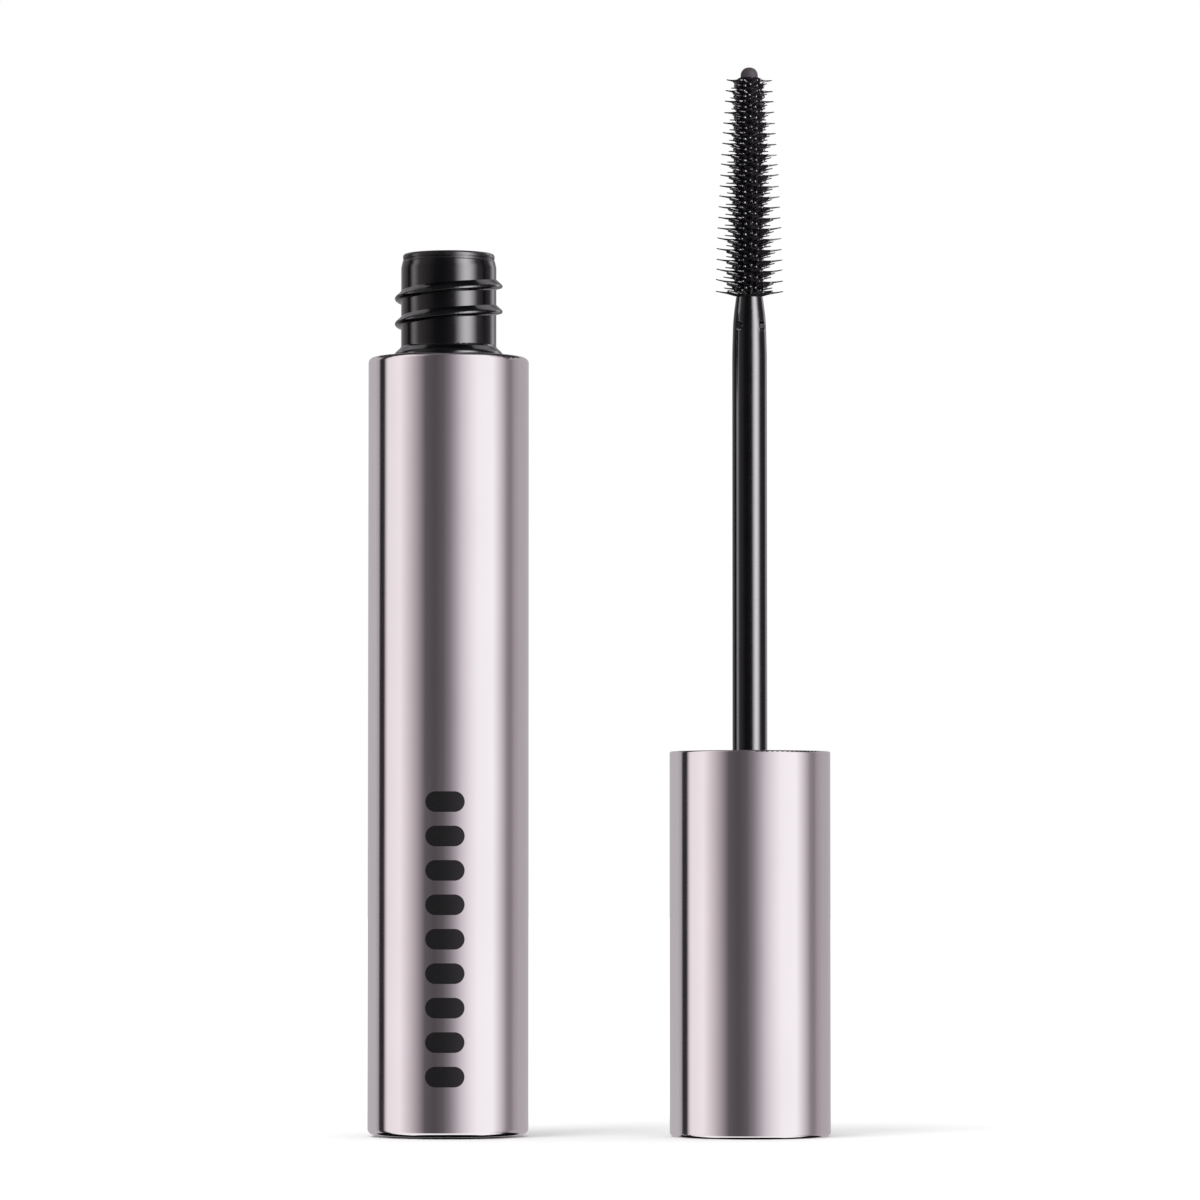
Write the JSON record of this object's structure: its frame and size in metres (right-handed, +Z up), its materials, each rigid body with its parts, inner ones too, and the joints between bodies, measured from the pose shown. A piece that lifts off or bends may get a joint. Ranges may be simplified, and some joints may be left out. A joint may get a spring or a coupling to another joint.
{
  "type": "mascara tube",
  "caption": "Slim round mascara, unscrewed: metal-sleeved tube with a threaded neck, beside its weighted screw cap carrying a stem and a tapered moulded brush.",
  "frame": {"origin": "centre of the tube's base, on the plane that both the tube and the cap stand on", "axes": "+Z up along the tube's axis, +X towards the applicator"},
  "size_m": [0.0518, 0.018, 0.12],
  "materials": {
    "case_metal": "polished",
    "black_plastic": "glossy",
    "wiper_plastic": "satin",
    "label_film": "matte",
    "weight_steel": "turned",
    "seal_rubber": "matte",
    "core_plastic": "satin",
    "brush_elastomer": "satin"
  },
  "bodies": {
    "tube": {"tube_sleeve": "case_metal", "vial": "black_plastic", "wiper": "wiper_plastic", "base_plug": "black_plastic", "base_label": "label_film"},
    "seal_ring": {"gasket": "seal_rubber"},
    "applicator": {"cap_shell": "case_metal", "cap_weight": "weight_steel", "cap_liner": "black_plastic", "wand": "black_plastic", "brush_core": "core_plastic", "bristles": "brush_elastomer"}
  },
  "joints": [
    {"name": "applicator_turn_over", "type": "hinge", "parent": "tube", "child": "seal_ring", "pos_m": [0.0169, 0, 0.1115], "axis": [0, -1, 0], "range_deg": [0, 180]},
    {"name": "applicator_twist", "type": "hinge", "parent": "seal_ring", "child": "applicator", "pos_m": [0.0338, 0, 0.0309], "axis": [0, 0, 1], "continuous": true}
  ]
}
